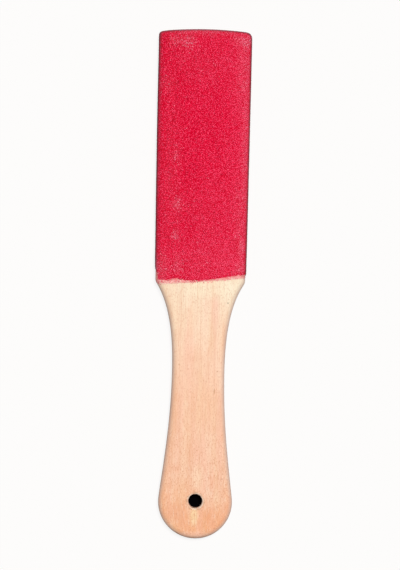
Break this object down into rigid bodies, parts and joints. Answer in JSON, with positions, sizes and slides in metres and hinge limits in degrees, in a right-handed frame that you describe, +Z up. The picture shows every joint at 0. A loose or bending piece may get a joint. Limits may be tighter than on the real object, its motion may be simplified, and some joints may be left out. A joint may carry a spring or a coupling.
{
  "type": "foot file",
  "caption": "Flat wooden foot file: wide blade with red abrasive grit on both faces, waisted handle, rounded edges and a hanging hole in the round tail.",
  "frame": {"origin": "under the middle of the whole file, at the level of the flat that it rests on", "axes": "+X across the blade's width, +Y along the file towards the blade's tip, +Z up through its thickness to the front face"},
  "size_m": [0.0478, 0.26, 0.0091],
  "materials": {
    "wood": "pale close-grained hardwood, sanded smooth and left bare",
    "bond": "thin pink-tinted resin glue, dried into the wood",
    "fine_grit": "fine mineral grit dyed crimson, rough, with a few pale sparkling grains",
    "coarse_grit": "coarse mineral grit dyed crimson, very rough"
  },
  "bodies": {
    "root": {"paddle": "wood", "front_bond_coat": "bond", "front_grit": "fine_grit", "rear_bond_coat": "bond", "rear_grit": "coarse_grit"}
  },
  "joints": []
}
